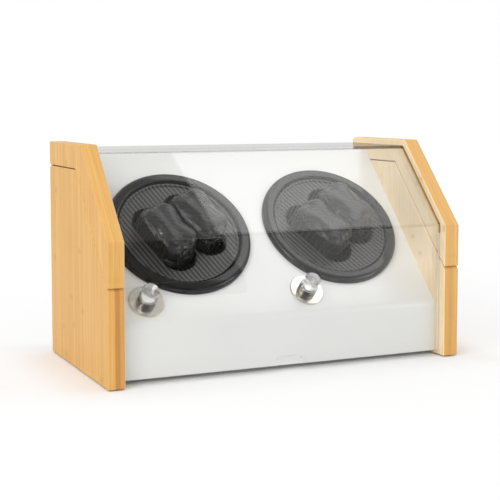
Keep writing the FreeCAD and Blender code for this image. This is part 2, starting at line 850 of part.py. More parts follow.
def build_lid(hinges):
    """Arms, clear cover, upper hinge leaves and their screws."""
    cover = make_lid_cover()
    nodes["lid_cover"] = cover
    for side, name in ((-1, "left"), (1, "right")):
        nodes[name + "_lid_arm"] = make_lid_arm(side, cover).cut(hinges["lid_holes"])
    nodes["lid_hinge_leaves"] = hinges["lid_leaves"]
    nodes["lid_screws"] = Part.makeCompound(hinges["lid_screws"])
    nodes["case_hinge_leaves"] = hinges["case_leaves"]
    nodes["hinge_pins"] = hinges["pins"]


def build_tables():
    """Bezels, turntables, cushions and drives on the slope."""
    screws = []
    clip_top = frame_bottom - bush_tail - running_gap
    clip_low = clip_top - clip_thickness
    spindle_top = hub_bottom + spindle_depth_in_hub
    shaft_low = frame_bottom - motor_shaft_depth
    shapes = {
        "table_bezel": make_bezel(),
        "spindle": disc(spindle_radius, clip_low - spindle_tail, spindle_top),
        "table_gear": make_table_gear(),
        "spindle_clip": disc(clip_radius, clip_low, clip_top).cut(disc(spindle_radius, clip_low, clip_top)),
        "drive_frame": make_drive_frame(),
        "spindle_bush": make_bush(),
        "drive_motor": make_motor(),
        "motor_pinion": make_pinion(),
        "motor_shaft": disc(motor_shaft_radius, shaft_low, gear_bottom + gear_width, 0, -gear_distance),
    }
    dish = make_turntable()
    cushion = make_cushion().rotate(Vector(), Vector(0, 0, 1), 90)
    motor_screw = screw(motor_screw_length)
    for name, centre, turn in tables:
        for node, shape in shapes.items():
            nodes[name + "_" + node] = on_slope(shape, centre, table_centre_up)
        nodes[name + "_turntable"] = on_slope(dish, centre, table_centre_up, turn)
        for row, side in (("lower", -1), ("upper", 1)):
            seated = shifted(cushion, side * pocket_pitch / 2)
            nodes[name + "_" + row + "_cushion"] = on_slope(seated, centre, table_centre_up, turn)
        for x in (-motor_screw_spread, motor_screw_spread):
            placed = motor_screw.copy()
            placed.translate(Vector(x, -gear_distance, frame_top))
            screws.append(on_slope(placed, centre, table_centre_up))
    nodes["drive_screws"] = Part.makeCompound(screws)


def build_knobs():
    """Knobs, their plates, switches and nuts on the slope."""
    shapes = {
        "knob_plate": make_knob_plate(),
        "mode_switch": make_switch(),
        "knob_collar": make_knob_collar(),
        "knob_rings": make_knob_rings(),
        "knob_cap": make_knob_cap(),
        "knob_shaft": make_knob_shaft(),
    }
    nuts = []
    for name, centre, turn in tables:
        for node, shape in shapes.items():
            nodes[name + "_" + node] = on_slope(shape, centre - knob_offset_across, knob_up)
        nuts.append(on_slope(make_switch_nut(), centre - knob_offset_across, knob_up))
    nodes["switch_nuts"] = Part.makeCompound(nuts)


def connector_tops():
    """Middles of the connectors' top faces on the control board."""
    board_top = board_bottom + bottom_board_thickness
    top = board_top + standoff_height + control_board_thickness + connector_height
    middle = (connector_count - 1) / 2
    y = control_board_rear - connector_depth
    return [Vector((i - middle) * connector_pitch, y, top) for i in range(connector_count)]


def lead(start, direction, end, step):
    """Round lead from a terminal over to a connector's top face, set aside by step halfway."""
    first = start + direction * lead_straight
    above = end + Vector(0, 0, lead_rise)
    points = [start, first, (first + above) / 2 + step, above, end]
    edges = []
    at = start
    for before, corner, after in zip(points, points[1:], points[2:]):
        reach = lead_bend_share * min(corner.distanceToPoint(before), corner.distanceToPoint(after))
        back = (before - corner).normalize()
        onward = (after - corner).normalize()
        half = back.getAngle(onward) / 2
        radius = reach * tan(half)
        middle = corner + (back + onward).normalize() * (radius / sin(half) - radius)
        edges.append(Part.makeLine(at, corner + back * reach))
        edges.append(Part.Arc(corner + back * reach, middle, corner + onward * reach).toShape())
        at = corner + onward * reach
    edges.append(Part.makeLine(at, end))
    section = Part.Wire(Part.makeCircle(lead_radius, start, direction))
    return Part.Wire(edges).makePipeShell([section], True, False)


def build_wiring():
    """Leads from the motors, switches and inlet to the control board."""
    ends = connector_tops()
    inwards = slope_out * -1
    left, right = -table_centre_across, table_centre_across
    motor_up = table_centre_up - gear_distance
    switch_tail = -fascia_thickness - switch_body_depth
    left_knob, right_knob = left - knob_offset_across, right - knob_offset_across
    inlet_front = rear - back_cover_recess - back_cover_thickness - socket_block_length
    inlet_end = Vector(socket_across, inlet_front, socket_height)
    starts = [
        (slope_point(left, motor_up, motor_tail), inwards, Vector(0, lead_side_step, -lead_sag / 2)),
        (slope_point(left_knob, knob_up, switch_tail), inwards, Vector(0, 0, -2 * lead_sag)),
        (inlet_end, Vector(0, -1, 0), Vector(0, lead_side_step, -lead_sag)),
        (slope_point(right_knob, knob_up, switch_tail), inwards, Vector(0, 0, -lead_sag)),
        (slope_point(right, motor_up, motor_tail), inwards, Vector(0, lead_side_step, -lead_sag / 2)),
    ]
    nodes["wiring"] = Part.makeCompound([
        lead(start, direction, end, step) for (start, direction, step), end in zip(starts, ends)])


def build_electrics():
    """Control board on its standoffs and the power inlet in the back cover."""
    board_top = board_bottom + bottom_board_thickness
    low = board_top + standoff_height
    rear_edge = control_board_rear
    front_edge = rear_edge - control_board_depth
    half = control_board_width / 2
    board = block(Vector(-half, front_edge, low), Vector(half, rear_edge, low + control_board_thickness))
    for at in connector_tops():
        half_size = Vector(connector_width / 2, connector_depth / 2, 0)
        board = board.fuse(block(at - half_size - Vector(0, 0, connector_height), at + half_size))
    nodes["control_board"] = board.removeSplitter()
    standoffs = []
    for x in (-half + standoff_inset, half - standoff_inset):
        for y in (front_edge + standoff_inset, rear_edge - standoff_inset):
            standoffs.append(disc(standoff_radius, board_top, low, x, y))
    nodes["board_standoffs"] = Part.makeCompound(standoffs)
    flange = disc(socket_flange_radius, 0, socket_flange_thickness)
    barrel = disc(socket_barrel_radius, -back_cover_thickness, 0)
    half_block = socket_block_width / 2
    body = block(
        Vector(-half_block, -half_block, -back_cover_thickness - socket_block_length),
        Vector(half_block, half_block, -back_cover_thickness))
    socket = flange.fuse([barrel, body]).removeSplitter()
    bore_low = socket_flange_thickness - socket_bore_depth
    bore = disc(socket_bore_radius, bore_low, socket_flange_thickness)
    socket = socket.cut(bore.cut(disc(socket_pin_radius, bore_low, socket_flange_thickness - 1)))
    cover_rear = rear - back_cover_recess
    nodes["power_socket"] = across(socket, socket_across, cover_rear, socket_height, Vector(0, 1, 0))


def main():
    """Build every piece and write each to its own file."""
    hinges = build_hinges()
    build_case(hinges)
    build_lid(hinges)
    build_tables()
    build_knobs()
    build_electrics()
    build_wiring()
    os.makedirs("parts", exist_ok=True)
    for name, shape in nodes.items():
        shape.exportStep(os.path.join("parts", name + ".step"))
    print(len(nodes), "pieces written")


main()
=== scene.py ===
"""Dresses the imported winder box: finishes, stuffed cushions, cut knob caps, studio and camera."""

import json
import logging
from dataclasses import dataclass
from enum import Enum
from math import radians
from typing import Any, Optional, Union

import bmesh
import bpy
from mathutils import Matrix, Vector, noise


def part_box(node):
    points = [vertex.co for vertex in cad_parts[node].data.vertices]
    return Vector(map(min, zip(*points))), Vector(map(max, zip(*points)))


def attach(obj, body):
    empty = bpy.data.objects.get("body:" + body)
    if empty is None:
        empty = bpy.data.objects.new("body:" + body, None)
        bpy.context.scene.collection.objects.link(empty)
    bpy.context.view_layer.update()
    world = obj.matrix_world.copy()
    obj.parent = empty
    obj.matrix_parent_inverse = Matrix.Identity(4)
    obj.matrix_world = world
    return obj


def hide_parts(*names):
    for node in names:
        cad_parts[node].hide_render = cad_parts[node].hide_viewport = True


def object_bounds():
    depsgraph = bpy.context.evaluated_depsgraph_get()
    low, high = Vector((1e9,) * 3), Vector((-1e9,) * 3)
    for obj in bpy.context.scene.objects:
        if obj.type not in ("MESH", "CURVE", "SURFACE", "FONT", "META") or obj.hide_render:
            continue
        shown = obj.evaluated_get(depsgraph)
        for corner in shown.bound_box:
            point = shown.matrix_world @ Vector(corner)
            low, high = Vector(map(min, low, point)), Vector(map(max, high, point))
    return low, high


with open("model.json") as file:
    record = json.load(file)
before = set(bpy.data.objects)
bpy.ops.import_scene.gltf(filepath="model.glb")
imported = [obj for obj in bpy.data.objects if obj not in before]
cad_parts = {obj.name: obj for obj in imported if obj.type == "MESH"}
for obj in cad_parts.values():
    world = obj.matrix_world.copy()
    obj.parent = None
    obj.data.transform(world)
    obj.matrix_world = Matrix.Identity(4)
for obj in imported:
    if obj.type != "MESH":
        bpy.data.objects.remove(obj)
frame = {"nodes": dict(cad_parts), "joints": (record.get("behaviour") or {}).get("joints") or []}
cad_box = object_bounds()

log = logging.getLogger("winder_box")

Colour = tuple[float, float, float, float]
Place = tuple[float, float, float]


def colour(red: float, green: float, blue: float) -> Colour:
    """Opaque colour in linear light."""
    return (red, green, blue, 1.0)


class Side(Enum):
    """The two halves of the box."""

    LEFT = "left"
    RIGHT = "right"


class Seat(Enum):
    """The two cushion pockets of a turntable."""

    LOWER = "lower"
    UPPER = "upper"


class Socket:
    """Output of a shader node that takes part in Python expressions."""

    def __init__(self, shader: "Shader", node: bpy.types.Node, output: Union[int, str] = 0) -> None:
        """Hold one output of a node.

        Args:
            shader: tree that new nodes go into.
            node: node that the output belongs to.
            output: index or name of the output.
        """
        self.shader = shader
        self.node = node
        self.output = node.outputs[output]

    def out(self, output: Union[int, str]) -> "Socket":
        """Another output of the same node."""
        return Socket(self.shader, self.node, output)

    def maths(self, operation: str, *values: Any) -> "Socket":
        """Math node on this socket and more values.

        Args:
            operation: the Math node's operation.
            values: what follows this socket in the node's inputs.

        Returns:
            The node's value.
        """
        inputs = dict(enumerate((self, *values)))
        return self.shader.node("ShaderNodeMath", {"operation": operation}, inputs)

    def __add__(self, other: Any) -> "Socket":
        """Sum."""
        return self.maths("ADD", other)

    def __radd__(self, other: float) -> "Socket":
        """Sum, number first."""
        return self.maths("ADD", other)

    def __sub__(self, other: Any) -> "Socket":
        """Difference."""
        return self.maths("SUBTRACT", other)

    def __rsub__(self, other: float) -> "Socket":
        """Difference, number first."""
        return self.maths("MULTIPLY", -1.0) + other

    def __mul__(self, other: Any) -> "Socket":
        """Product."""
        return self.maths("MULTIPLY", other)

    def __rmul__(self, other: float) -> "Socket":
        """Product, number first."""
        return self.maths("MULTIPLY", other)

    def __truediv__(self, other: Any) -> "Socket":
        """Quotient."""
        return self.maths("DIVIDE", other)

    def __pow__(self, other: Any) -> "Socket":
        """Power."""
        return self.maths("POWER", other)

    def __abs__(self) -> "Socket":
        """Size without sign."""
        return self.maths("ABSOLUTE")

    def floor(self) -> "Socket":
        """Whole part."""
        return self.maths("FLOOR")

    def fraction(self) -> "Socket":
        """What is left over the whole part."""
        return self.maths("FRACT")

    def step(self, low: float, high: float) -> "Socket":
        """Smooth rise from 0 at low to 1 at high."""
        settings = {"interpolation_type": "SMOOTHSTEP"}
        inputs = {"Value": self, "From Min": low, "From Max": high}
        return self.shader.node("ShaderNodeMapRange", settings, inputs)


class Shader:
    """Node tree of one finish."""

    def __init__(self, tree: bpy.types.NodeTree) -> None:
        """Start from an empty tree."""
        tree.nodes.clear()
        self.tree = tree

    def node(self, kind: str, settings: Optional[dict[str, Any]] = None,
             inputs: Optional[dict[Union[int, str], Any]] = None,
             output: Union[int, str] = 0) -> Optional[Socket]:
        """Add a node, set it up and feed its sockets.

        Args:
            kind: node type.
            settings: the node's own settings.
            inputs: value or link of each socket, by name or index.
            output: the output that is wanted.

        Returns:
            The wanted output, or None from a node that has no outputs.
        """
        made = self.tree.nodes.new(kind)
        for key, value in (settings or {}).items():
            setattr(made, key, value)
        for key, value in (inputs or {}).items():
            if isinstance(value, Socket):
                self.tree.links.new(value.output, made.inputs[key])
            else:
                made.inputs[key].default_value = value
        return Socket(self, made, output) if made.outputs else None

    def position(self) -> Socket:
        """Object coordinates, in metres."""
        return self.node("ShaderNodeTexCoord", output="Object")

    def facing(self) -> tuple[Socket, Socket, Socket]:
        """The three parts of the normal, in the object's own axes."""
        return self.split(self.node("ShaderNodeTexCoord", output="Normal"))

    def split(self, vector: Socket) -> tuple[Socket, Socket, Socket]:
        """The three parts of a vector."""
        parts = self.node("ShaderNodeSeparateXYZ", inputs={0: vector})
        return parts, parts.out(1), parts.out(2)

    def stretched(self, vector: Socket, factors: Place) -> Socket:
        """Vector with each part multiplied."""
        return self.node("ShaderNodeVectorMath", {"operation": "MULTIPLY"}, {0: vector, 1: factors})

    def along(self, vector: Socket, origin: Vector, direction: Vector) -> Socket:
        """Distance of a place from an origin along a direction.

        Args:
            vector: the place.
            origin: where the distance is 0.
            direction: unit vector of the distance.

        Returns:
            The distance in metres.
        """
        offset = self.node("ShaderNodeVectorMath", {"operation": "SUBTRACT"}, {0: vector, 1: tuple(origin)})
        settings = {"operation": "DOT_PRODUCT"}
        return self.node("ShaderNodeVectorMath", settings, {0: offset, 1: tuple(direction)}, "Value")

    def noise(self, vector: Socket, scale: float, detail: float = 2.0, roughness: float = 0.5) -> Socket:
        """Cloudy value from 0 to 1."""
        inputs = {"Vector": vector, "Scale": scale, "Detail": detail, "Roughness": roughness}
        return self.node("ShaderNodeTexNoise", None, inputs)

    def chance(self, value: Socket) -> Socket:
        """Random number that stays the same for the same value."""
        return self.node("ShaderNodeTexWhiteNoise", {"noise_dimensions": "1D"}, {"W": value})

    def mix(self, factor: Any, first: Any, second: Any) -> Socket:
        """Blend of two colours.

        Args:
            factor: share of the second colour.
            first: colour at 0.
            second: colour at 1.

        Returns:
            The blended colour.
        """
        settings = {"data_type": "RGBA", "clamp_factor": True}
        return self.node("ShaderNodeMix", settings, {0: factor, 6: first, 7: second}, 2)

    def bump(self, height: Socket, distance: float, strength: float = 1.0) -> Socket:
        """Normal of a surface raised by a height."""
        inputs = {"Height": height, "Distance": distance, "Strength": strength}
        return self.node("ShaderNodeBump", None, inputs)

    def principled(self, **inputs: Any) -> Socket:
        """Principled surface; underscores in names stand for spaces."""
        named = {key.replace("_", " "): value for key, value in inputs.items()}
        return self.node("ShaderNodeBsdfPrincipled", None, named)

    def blend(self, factor: Any, first: Socket, second: Socket) -> Socket:
        """Mix of two surfaces by a factor."""
        return self.node("ShaderNodeMixShader", None, {0: factor, 1: first, 2: second})

    def finish(self, surface: Socket) -> None:
        """Send a surface to the material's output."""
        self.node("ShaderNodeOutputMaterial", None, {"Surface": surface})


def blank_material(name: str) -> tuple[bpy.types.Material, Shader]:
    """New material with an empty tree.

    Args:
        name: the material's name.

    Returns:
        The material and the shader that fills its tree.
    """
    made = bpy.data.materials.new(name)
    made.use_nodes = True
    return made, Shader(made.node_tree)


def add_object(name: str, data: Any) -> bpy.types.Object:
    """New object in the scene.

    Args:
        name: the object's name.
        data: its mesh, light or camera.

    Returns:
        The object.
    """
    made = bpy.data.objects.new(name, data)
    bpy.context.scene.collection.objects.link(made)
    return made


def mesh_from(shape: bmesh.types.BMesh, name: str) -> bpy.types.Mesh:
    """Turn a worked shape into a mesh and let the shape go.

    Args:
        shape: the worked shape.
        name: the mesh's name.

    Returns:
        The mesh.
    """
    mesh = bpy.data.meshes.new(name)
    shape.to_mesh(mesh)
    shape.free()
    return mesh


@dataclass(frozen=True)
class Finish:
    """A material that is made from nodes."""

    name: str

    def material(self) -> bpy.types.Material:
        """New material with this finish."""
        made, shader = blank_material(self.name)
        shader.finish(self.surface(shader))
        return made

    def surface(self, shader: Shader) -> Socket:
        """Build the surface.

        Args:
            shader: tree that the nodes go into.

        Returns:
            The surface.
        """
        raise NotImplementedError


@dataclass(frozen=True)
class Bamboo(Finish):
    """Laminated bamboo: plies through the thickness, upright strips, fibres and knuckles; the inner faces are
    paler, their own tone plus a painted sheen.
    """

    half_width: float = 0.170
    ply: float = 0.0062
    core_ply: float = 0.0038
    inner_face_depth: float = 0.0140
    strip: float = 0.0068
    knuckle_spacing: float = 0.21
    seed: float = 3.0
    core_share: float = 1.0
    pale: Colour = colour(0.80, 0.485, 0.165)
    tan: Colour = colour(0.62, 0.325, 0.082)
    core: Colour = colour(0.47, 0.19, 0.042)
    inner: Colour = colour(0.60, 0.30, 0.080)
    inner_face_and_sheen: Colour = colour(0.93, 0.76, 0.51)
    fibre: Colour = colour(0.40, 0.19, 0.050)
    inner_face_sheen_share: float = 0.9
    fibre_share: float = 0.42
    edge_knuckle: float = 0.06
    flank_knuckle: float = 0.2
    seam_share: float = 0.06
    drift: float = 0.0012
    wide_grain: Place = (34.0, 34.0, 4.0)
    streak_grain: Place = (520.0, 520.0, 7.0)
    fine_grain: Place = (2300.0, 2300.0, 30.0)
    rough: float = 0.36
    rough_spread: float = 0.14
    relief: float = 0.00012
    shine: float = 0.16
    coat: float = 0.03

    def surface(self, shader: Shader) -> Socket:
        """Build the surface.

        Args:
            shader: tree that the nodes go into.

        Returns:
            The surface.
        """
        x, y, z = shader.split(shader.position())
        flank = abs(shader.facing()[0]).step(0.4, 0.6)
        place = shader.node("ShaderNodeCombineXYZ", None, {0: x, 1: y * flank, 2: z})
        depth = self.half_width - abs(x)
        past_outer = depth.step(self.ply - 0.0002, self.ply + 0.0003)
        past_core = depth.step(self.ply + self.core_ply, self.ply + self.core_ply + 0.0012)
        drift = shader.noise(shader.stretched(place, (0.0, 0.0, 1.0)), 9.0) * self.drift
        lane = (y * flank + drift) / self.strip + past_outer * 0.37 + self.seed
        index = lane.floor()
        tone = shader.chance(index)
        wide = shader.noise(shader.stretched(place, self.wide_grain), 1.0, 3.0)
        streak = shader.noise(shader.stretched(place, self.streak_grain), 1.0, 3.0)
        fine = shader.noise(shader.stretched(place, self.fine_grain), 1.0, 4.0, 0.6)
        share = tone * 0.35 + wide * 0.35 + streak.step(0.3, 0.7) * 0.45 - 0.1
        body = shader.mix(share, self.pale, self.tan)
        # The inner faces of the sides are painted paler: the bamboo's own face tone plus a painted sheen.
        inner_face_and_sheen = depth.step(self.inner_face_depth, self.inner_face_depth + 0.0006)
        body = shader.mix(inner_face_and_sheen * flank * self.inner_face_sheen_share, body, self.inner_face_and_sheen)
        edge_ply = shader.mix(streak * 0.35, shader.mix(past_core, self.core, self.inner), self.pale)
        body = shader.mix(past_outer * (1 - inner_face_and_sheen) * (1 - flank) * self.core_share, body, edge_ply)
        body = shader.mix(fine.step(0.48, 0.74) * self.fibre_share, body, self.fibre)
        where = z / self.knuckle_spacing + shader.chance(index + 17.3)
        gap = abs(where.fraction() - 0.5) * self.knuckle_spacing + (streak - 0.5) * 0.006
        knuckle = (1 - gap.step(0.0004, 0.0042)) * shader.chance(index + 5.7).step(0.45, 0.6)
        body = shader.mix(knuckle * (self.edge_knuckle + self.flank_knuckle * flank), body, self.fibre)
        seam = abs(lane.fraction() - 0.5)
        body = shader.mix(seam.step(0.46, 0.5) * flank * self.seam_share, body, self.fibre)
        rough = self.rough + fine * self.rough_spread
        normal = shader.bump(fine, self.relief, 0.5)
        return shader.principled(Base_Color=body, Roughness=rough, Normal=normal,
                                 Specular_IOR_Level=self.shine, Coat_Weight=self.coat, Coat_Roughness=0.2)


@dataclass(frozen=True)
class Timber(Finish):
    """Plain sawn wood for hidden battens and dowels."""

    pale: Colour = colour(0.62, 0.42, 0.24)
    dark: Colour = colour(0.45, 0.27, 0.13)
    ring_grain: Place = (260.0, 260.0, 9.0)
    pore_grain: Place = (1500.0, 1500.0, 40.0)

    def surface(self, shader: Shader) -> Socket:
        """Build the surface.

        Args:
            shader: tree that the nodes go into.

        Returns:
            The surface.
        """
        place = shader.position()
        rings = shader.noise(shader.stretched(place, self.ring_grain), 1.0, 3.0)
        pores = shader.noise(shader.stretched(place, self.pore_grain), 1.0, 3.0)
        body = shader.mix(rings.step(0.3, 0.7), self.pale, self.dark)
        body = shader.mix(pores.step(0.55, 0.8) * 0.5, body, self.dark)
        return shader.principled(Base_Color=body, Roughness=0.62 + pores * 0.2,
                                 Normal=shader.bump(pores, 0.0002))


@dataclass(frozen=True)
class Lacquer(Finish):
    """Sprayed or polished coat with a faint orange peel and soft cloudiness."""

    base: Colour = colour(0.8, 0.8, 0.8)
    cloud: Colour = colour(0.7, 0.7, 0.7)
    rough: float = 0.2
    rough_spread: float = 0.06
    peel_scale: float = 420.0
    peel: float = 0.00001
    shine: float = 0.5

    def surface(self, shader: Shader) -> Socket:
        """Build the surface.

        Args:
            shader: tree that the nodes go into.

        Returns:
            The surface.
        """
        place = shader.position()
        cloud = shader.noise(place, 24.0, 3.0)
        peel = shader.noise(place, self.peel_scale, 2.0)
        body = shader.mix(cloud.step(0.35, 0.75), self.base, self.cloud)
        rough = self.rough + (cloud - 0.5) * self.rough_spread
        return shader.principled(Base_Color=body, Roughness=rough, Normal=shader.bump(peel, self.peel),
                                 Specular_IOR_Level=self.shine)


@dataclass(frozen=True)
class ClearSheet(Finish):
    """Bent clear sheet: see-through, mirror-like at a slant, with a painted highlight on its side edges and
    painted shade along its bottom edge.
    """

    tint: Colour = colour(0.993, 0.995, 0.993)
    mirror: Colour = colour(0.66, 0.665, 0.655)
    facing_gloss: float = 0.042
    painted_edge_highlight: Colour = colour(0.86, 0.86, 0.84)
    painted_bottom_shade: Colour = colour(0.16, 0.16, 0.16)
    under_height: float = 0.06
    under_share: float = 0.85
    edge_highlight_share: float = 0.7

    def surface(self, shader: Shader) -> Socket:
        """Build the surface.

        Args:
            shader: tree that the nodes go into.

        Returns:
            The surface.
        """
        slant = shader.node("ShaderNodeLayerWeight", None, {"Blend": 0.5}, "Facing")
        gloss = self.facing_gloss + (1 - self.facing_gloss) * slant ** 5
        smear = shader.noise(shader.position(), 30.0, 3.0)
        mirror = shader.node("ShaderNodeBsdfAnisotropic", None, {"Color": self.mirror, "Roughness": 0.012})
        clear = shader.node("ShaderNodeBsdfTransparent", None, {"Color": self.tint})
        sheet = shader.blend(gloss, clear, mirror)
        facing = shader.facing()
        height = shader.split(shader.position())[2]
        # Painted shade: the bottom edge faces low down are painted dark grey. Painted highlight: the side
        # edge faces are painted near white.
        low = 1 - height.step(self.under_height, self.under_height + 0.01)
        under = (facing[2] * -1).step(0.8, 0.95) * low
        ends = abs(facing[0]).step(0.8, 0.95)
        rim = shader.mix(ends, self.painted_bottom_shade, self.painted_edge_highlight)
        # sawn carries the painted edge colours: near white on the side edges and dark grey on the bottom
        # edge.
        sawn = shader.principled(Base_Color=rim, Roughness=0.25 + smear * 0.1)
        return shader.blend(under * self.under_share + ends * self.edge_highlight_share, sheet, sawn)


@dataclass(frozen=True)
class CarbonWeave(Finish):
    """Woven carbon look: tows that pass over two and under two, which makes slanted ribs; the tows on top are
    lighter, part weave pattern and part painted sheen, and each tow's crown has a painted highlight.
    """

    centre: Place = (0.0, 0.0, 0.0)
    first: Place = (1.0, 0.0, 0.0)
    second: Place = (0.0, 1.0, 0.0)
    tow: float = 0.00145
    dark: Colour = colour(0.002, 0.002, 0.002)
    light: Colour = colour(0.135, 0.135, 0.131)
    rough: float = 0.42
    relief: float = 0.00012
    crease: float = 0.0
    coat: float = 0.15

    def surface(self, shader: Shader) -> Socket:
        """Build the surface.

        Args:
            shader: tree that the nodes go into.

        Returns:
            The surface.
        """
        place = shader.position()
        across = shader.along(place, Vector(self.centre), Vector(self.first)) / self.tow
        along = shader.along(place, Vector(self.centre), Vector(self.second)) / self.tow
        turn = ((across.floor() + along.floor()) / 4.0).fraction()
        over = turn.step(0.45, 0.55)
        arch_across = 1 - abs(across.fraction() - 0.5) * 2.0
        arch_along = 1 - abs(along.fraction() - 0.5) * 2.0
        arch = arch_across * over + arch_along * (1 - over)
        wear = shader.noise(place, 160.0, 4.0, 0.6)
        # Tows on top are painted lighter (weave pattern and painted sheen); arch adds a painted highlight
        # along each tow's crown.
        body = shader.mix(over * 0.75 + arch * 0.25, self.dark, self.light)
        rough = self.rough - over * 0.12 + (wear - 0.5) * 0.12
        height = arch + wear * self.crease
        return shader.principled(Base_Color=body, Roughness=rough, Specular_IOR_Level=0.35,
                                 Normal=shader.bump(height, self.relief), Coat_Weight=self.coat,
                                 Coat_Roughness=0.08)


@dataclass(frozen=True)
class Metal(Finish):
    """Bare metal with fine turning or rolling marks."""

    base: Colour = colour(0.8, 0.8, 0.8)
    shade: Colour = colour(0.6, 0.6, 0.6)
    rough: float = 0.2
    rough_spread: float = 0.1
    marks: Place = (300.0, 300.0, 300.0)
    relief: float = 0.00002

    def surface(self, shader: Shader) -> Socket:
        """Build the surface.

        Args:
            shader: tree that the nodes go into.

        Returns:
            The surface.
        """
        place = shader.position()
        cloud = shader.noise(place, 70.0, 3.0)
        marks = shader.noise(shader.stretched(place, self.marks), 1.0, 3.0)
        body = shader.mix(cloud.step(0.3, 0.75), self.base, self.shade)
        rough = self.rough + (marks - 0.5) * self.rough_spread
        return shader.principled(Base_Color=body, Metallic=1.0, Roughness=rough,
                                 Normal=shader.bump(marks, self.relief))


@dataclass(frozen=True)
class Moulded(Finish):
    """Moulded plastic or felt with a fine grain."""

    base: Colour = colour(0.05, 0.05, 0.05)
    worn: Colour = colour(0.08, 0.08, 0.08)
    rough: float = 0.45
    grain_scale: float = 900.0
    grain: float = 0.00006
    shine: float = 0.5

    def surface(self, shader: Shader) -> Socket:
        """Build the surface.

        Args:
            shader: tree that the nodes go into.

        Returns:
            The surface.
        """
        place = shader.position()
        cloud = shader.noise(place, 40.0, 3.0)
        grain = shader.noise(place, self.grain_scale, 2.0)
        body = shader.mix(cloud.step(0.35, 0.7), self.base, self.worn)
        return shader.principled(Base_Color=body, Roughness=self.rough + grain * 0.12,
                                 Normal=shader.bump(grain, self.grain), Specular_IOR_Level=self.shine)


@dataclass(frozen=True)
class Crystal(Finish):
    """Clear cast knob cap."""

    tint: Colour = colour(0.97, 0.97, 0.96)

    def surface(self, shader: Shader) -> Socket:
        """Build the surface.

        Args:
            shader: tree that the nodes go into.

        Returns:
            The surface.
        """
        swirl = shader.noise(shader.position(), 220.0, 2.0)
        return shader.principled(Base_Color=self.tint, Roughness=0.02 + swirl * 0.03, IOR=1.49,
                                 Transmission_Weight=0.86)


@dataclass(frozen=True)
class CircuitBoard(Finish):
    """Green solder mask over a grid of copper tracks."""

    mask: Colour = colour(0.012, 0.115, 0.035)
    track: Colour = colour(0.03, 0.23, 0.075)
    pitch: float = 0.0025

    def surface(self, shader: Shader) -> Socket:
        """Build the surface.

        Args:
            shader: tree that the nodes go into.

        Returns:
            The surface.
        """
        place = shader.position()
        x, y, _ = shader.split(place)
        lane = x / self.pitch + (y / (self.pitch * 6)).floor() * 0.5
        track = 1 - abs(lane.fraction() - 0.5).step(0.12, 0.2)
        body = shader.mix(track * shader.chance(lane.floor()).step(0.3, 0.4), self.mask, self.track)
        return shader.principled(Base_Color=body, Roughness=0.3 + track * 0.08,
                                 Normal=shader.bump(track, 0.00003))


def dress(names: list[str], finish: Finish) -> None:
    """Give CAD nodes a finish.

    Args:
        names: the nodes.
        finish: the finish that they all take.
    """
    material = finish.material()
    for name in names:
        node = frame["nodes"][name]
        for holder in node.material_slots:
            holder.material = material
        if not node.material_slots:
            node.data.materials.append(material)
    log.info("%s: %s", finish.name, ", ".join(names))


def new_piece(name: str, mesh: bpy.types.Mesh, body: str, material: bpy.types.Material,
              replaced: list[str]) -> bpy.types.Object:
    """Put a finished mesh into the scene as a piece that rides on a body.

    Args:
        name: the piece's name.
        mesh: its mesh, in place.
        body: the body that it moves with.
        material: its finish.
        replaced: the CAD nodes that it stands for.

    Returns:
        The new object.
    """
    piece = add_object(name, mesh)
    mesh.materials.clear()
    mesh.materials.append(material)
    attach(piece, body)
    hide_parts(*replaced)
    log.info("piece %s rides on %s", name, body)
    return piece


def joint_row(name: str) -> dict[str, Any]:
    """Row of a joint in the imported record."""
    return next(row for row in frame["joints"] if row["name"] == name)


def centre_of(node: str) -> Vector:
    """Middle of a CAD node's box."""
    low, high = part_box(node)
    return (low + high) / 2


@dataclass
class Case:
    """Bamboo sides, white panel and what is inside."""

    left_seed: float = 3.0
    right_seed: float = 31.0

    def dress(self) -> None:
        """Finish the case's nodes."""
        dress(["left_side_panel"], Bamboo("bamboo_left_side", seed=self.left_seed))
        dress(["right_side_panel"], Bamboo("bamboo_right_side", seed=self.right_seed, core_share=0.35))
        dress(["front_fascia"], Lacquer("white_panel_gloss", base=colour(0.81, 0.81, 0.795),
                                        cloud=colour(0.795, 0.795, 0.78), rough=0.22))
        dress(["bottom_board", "back_cover"], Moulded("white_board_face", base=colour(0.72, 0.71, 0.68),
                                                      worn=colour(0.70, 0.69, 0.66), rough=0.5))
        dress(["case_dowels", "case_battens"], Timber("sawn_batten"))
        dress(["foot_pads"], Moulded("felt_pad", base=colour(0.04, 0.04, 0.04), worn=colour(0.07, 0.07, 0.07),
                                     rough=0.85, grain=0.0004))
        dress(["case_screws", "lid_screws", "drive_screws", "switch_nuts"],
              Metal("zinc_screw", base=colour(0.55, 0.54, 0.50), shade=colour(0.42, 0.41, 0.38), rough=0.3))
        dress(["case_hinge_leaves", "lid_hinge_leaves", "hinge_pins"],
              Metal("brushed_hinge", base=colour(0.62, 0.60, 0.56), shade=colour(0.5, 0.49, 0.46), rough=0.32,
                    marks=(20.0, 900.0, 900.0)))


@dataclass
class Lid:
    """Bamboo arms and the bent clear cover."""

    left_seed: float = 57.0
    right_seed: float = 83.0

    def dress(self) -> None:
        """Finish the lid's nodes."""
        dress(["left_lid_arm"], Bamboo("bamboo_left_arm", seed=self.left_seed, core_share=0.15))
        dress(["right_lid_arm"], Bamboo("bamboo_right_arm", seed=self.right_seed, core_share=0.15))
        dress(["lid_cover"], ClearSheet("clear_cover"))


